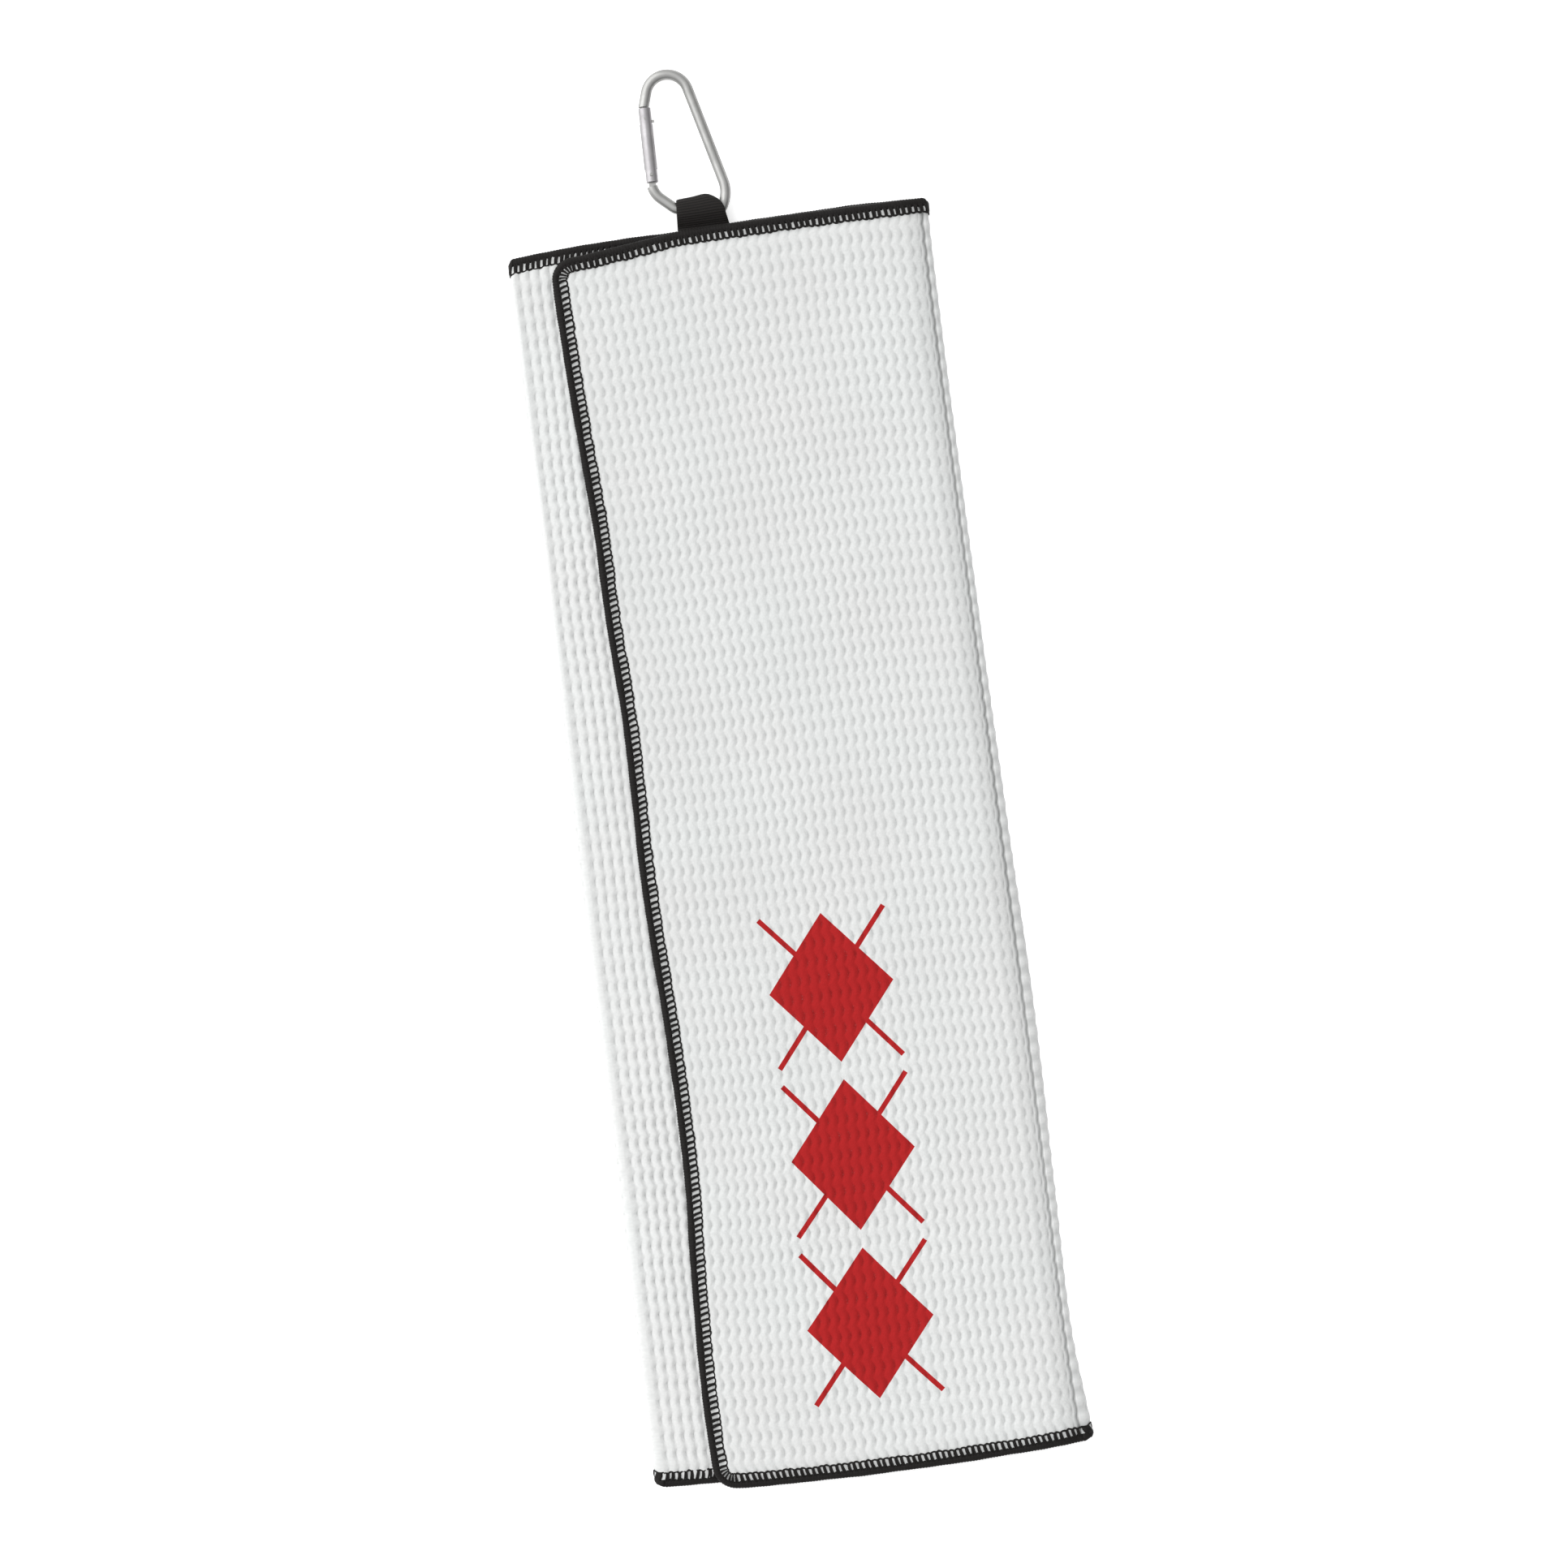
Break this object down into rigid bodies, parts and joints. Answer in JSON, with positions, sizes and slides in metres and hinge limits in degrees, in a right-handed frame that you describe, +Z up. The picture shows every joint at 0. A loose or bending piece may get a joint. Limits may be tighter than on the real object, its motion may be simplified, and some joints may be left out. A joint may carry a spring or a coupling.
{
  "type": "golf towel",
  "caption": "Ribbed golf towel folded in three lengthwise, edged with overlocked thread, with a webbing loop and a gated snap hook for hanging it on a bag.",
  "frame": {"origin": "middle of the folded towel's flat underside", "axes": "+X across the fold towards the right fold, +Y along the towel towards the hook, +Z up through the layers"},
  "size_m": [0.1496, 0.491, 0.0086],
  "materials": {
    "towel_cloth": "white ribbed knit, matt",
    "edging_thread": "black overlocked thread",
    "printed_ink": "red printed ink, matt",
    "webbing": "black ribbed webbing",
    "seam_thread": "black sewing thread",
    "hook_wire": "satin, drawn wire",
    "hook_gate": "satin, turned",
    "rivet_steel": "plated steel",
    "plunger_brass": "turned brass",
    "spring_steel": "music wire"
  },
  "bodies": {
    "middle": {"middle_panel": "towel_cloth", "middle_panel_edging": "edging_thread", "left_fold": "towel_cloth", "left_fold_edging": "edging_thread", "right_fold": "towel_cloth", "right_fold_edging": "edging_thread", "webbing_tail": "webbing", "webbing_seam": "seam_thread"},
    "back": {"back_panel": "towel_cloth", "back_panel_edging": "edging_thread"},
    "front": {"front_panel": "towel_cloth", "front_panel_edging": "edging_thread", "printed_pattern": "printed_ink"},
    "loop": {"webbing_loop": "webbing"},
    "hook": {"hook_frame": "hook_wire"},
    "gate": {"gate": "hook_gate", "pivot_rivet": "rivet_steel", "latch_pin": "rivet_steel", "gate_spring": "spring_steel"},
    "plunger": {"gate_plunger": "plunger_brass"}
  },
  "joints": [
    {"name": "left_fold_hinge", "type": "hinge", "parent": "middle", "child": "back", "pos_m": [-0.0724, 0, 0.0012], "axis": [0, 1, 0], "range_deg": [0, 180], "deforming": ["left_fold", "left_fold_edging"]},
    {"name": "right_fold_hinge", "type": "hinge", "parent": "middle", "child": "front", "pos_m": [0.072, 0, 0.0039], "axis": [0, 1, 0], "range_deg": [0, 180], "deforming": ["right_fold", "right_fold_edging"]},
    {"name": "loop_bend", "type": "hinge", "parent": "middle", "child": "loop", "pos_m": [-0.0046, 0.219, 0.0039], "axis": [1, 0, 0], "range_deg": [0, 90], "deforming": ["webbing_loop"]},
    {"name": "hook_swing", "type": "hinge", "parent": "loop", "child": "hook", "pos_m": [-0.0046, 0.2226, 0.0039], "axis": [0.9985, -0.0539, 0], "range_deg": [0, 40]},
    {"name": "gate_hinge", "type": "hinge", "parent": "hook", "child": "gate", "pos_m": [-0.02025, 0.2372, 0.0039], "axis": [0, 0, -1], "range_deg": [0, 28], "stiffness_Nm_per_rad": 0.004, "springref_deg": -17.19, "deforming": ["gate_spring"]},
    {"name": "plunger_slide", "type": "slide", "parent": "gate", "child": "plunger", "axis": [0.0174, 0.9998, 0], "range_m": [0, 0.00042]}
  ],
  "couplings": [
    {"joint": "plunger_slide", "follows": "gate_hinge", "m_per_rad": 0.000841}
  ]
}
